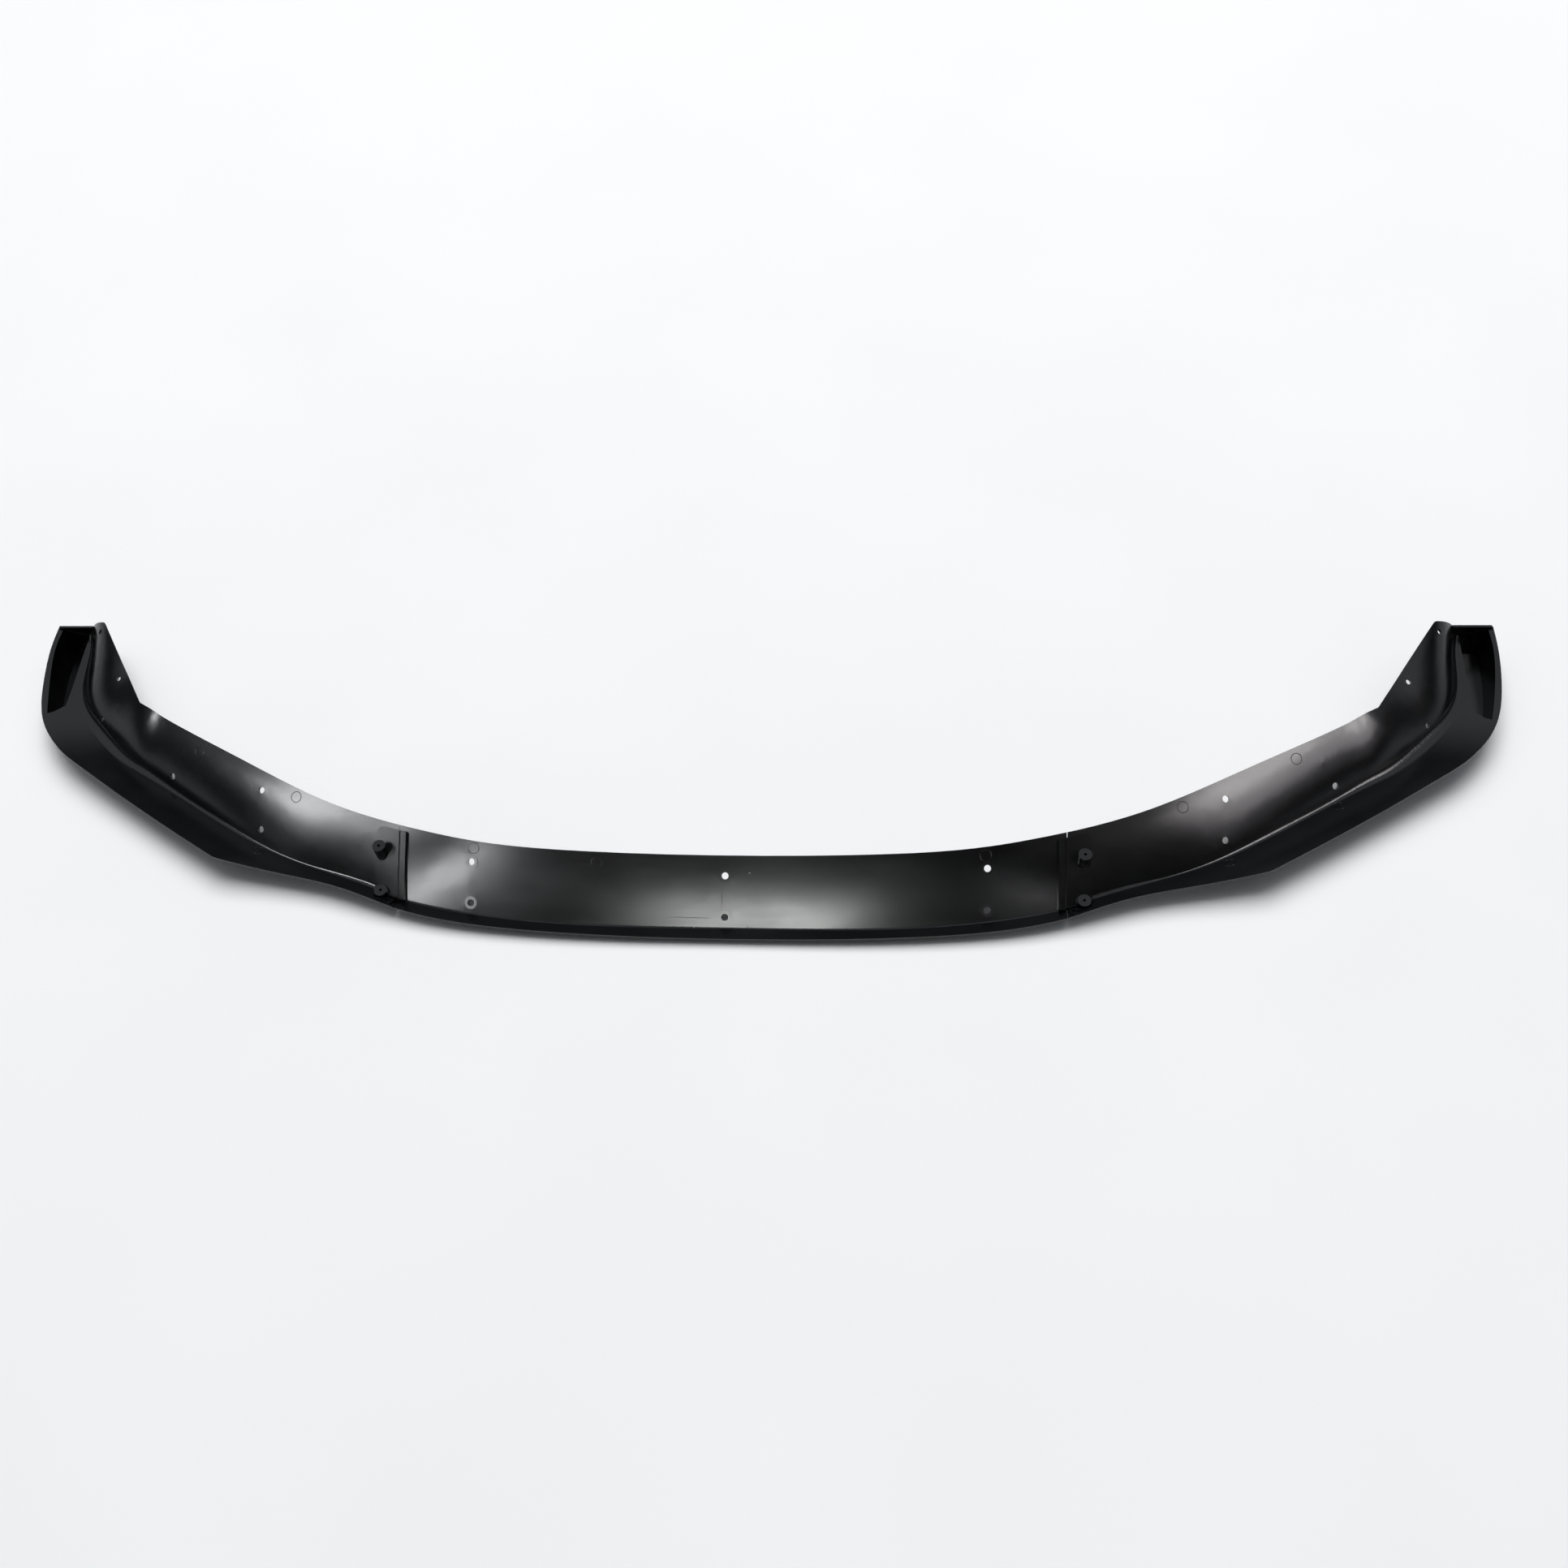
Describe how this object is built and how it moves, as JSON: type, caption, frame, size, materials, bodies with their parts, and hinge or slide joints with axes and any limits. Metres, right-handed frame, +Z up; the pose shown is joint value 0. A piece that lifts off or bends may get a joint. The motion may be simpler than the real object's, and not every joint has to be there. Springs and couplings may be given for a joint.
{
  "type": "bumper spoiler",
  "caption": "Front bumper lip spoiler of black moulded plastic: a centre moulding screwed to side mouldings at overlap joints, with hollow winglets at the ends.",
  "frame": {"origin": "on the floor under the middle of the bounding box, the lip lying as it rests", "axes": "+X across the car to the right-hand moulding, +Y to the rear of the car, +Z up"},
  "size_m": [1.81, 0.424, 0.0693],
  "materials": {
    "black_plastic": "satin, fine moulded grain",
    "screw_steel": "plain zinc-grey"
  },
  "bodies": {
    "root": {"centre_section": "black_plastic", "left_section": "black_plastic", "right_section": "black_plastic", "upper_joint_screws": "screw_steel", "lower_joint_screws": "screw_steel"}
  },
  "joints": []
}
